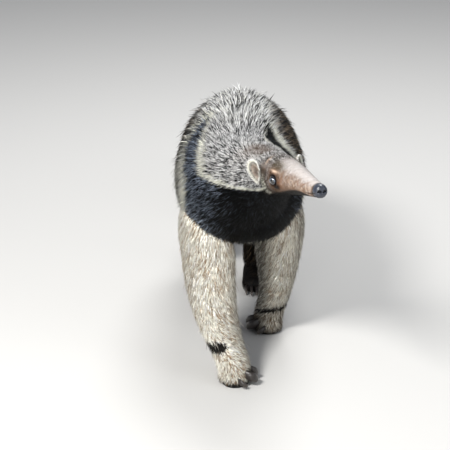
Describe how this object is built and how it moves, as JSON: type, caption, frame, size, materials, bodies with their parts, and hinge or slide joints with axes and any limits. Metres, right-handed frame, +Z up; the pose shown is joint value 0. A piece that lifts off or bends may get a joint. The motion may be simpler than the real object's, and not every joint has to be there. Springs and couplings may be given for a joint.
{
  "type": "giant anteater",
  "caption": "Life-size adult giant anteater standing in mid-stride with its head turned to its left; one still body with a long bristly coat.",
  "frame": {"origin": "on the floor, in the middle of the ground covered by the whole animal, in front-to-back and in width", "axes": "+Z up, head towards -Y and tail towards +Y, the animal's left at +X"},
  "size_m": [0.3602, 2.0771, 0.6462],
  "materials": {
    "body_coat": "coarse grizzled hair, black chest and shoulder wedge edged with white",
    "face": "short pinkish grey to brown fur",
    "ear": "short pale fur, pinkish bare skin inside",
    "nose": "wet black skin",
    "eye": "wet, dark brown",
    "foreleg_coat": "cream-white hair with a black wrist band",
    "hindleg_coat": "dark brown to black hair",
    "tail_coat": "long coarse brown and grey hair",
    "claw": "dark worn horn"
  },
  "bodies": {
    "root": {"claw_fore_left_1": "claw", "claw_fore_left_2": "claw", "claw_fore_left_3": "claw", "claw_fore_right_1": "claw", "claw_fore_right_2": "claw", "claw_fore_right_3": "claw", "claw_hind_left_1": "claw", "claw_hind_left_2": "claw", "claw_hind_left_3": "claw", "claw_hind_left_4": "claw", "claw_hind_left_5": "claw", "claw_hind_right_1": "claw", "claw_hind_right_2": "claw", "claw_hind_right_3": "claw", "claw_hind_right_4": "claw", "claw_hind_right_5": "claw", "ear_left": "ear", "ear_right": "ear", "eye_left": "eye", "eye_right": "eye", "foreleg_left": "foreleg_coat", "foreleg_right": "foreleg_coat", "head": "face", "hindfoot_left": "hindleg_coat", "hindfoot_right": "hindleg_coat", "hindleg_left": "hindleg_coat", "hindleg_right": "hindleg_coat", "neck": "body_coat", "nose": "nose", "tail": "tail_coat", "torso": "body_coat"}
  },
  "joints": []
}
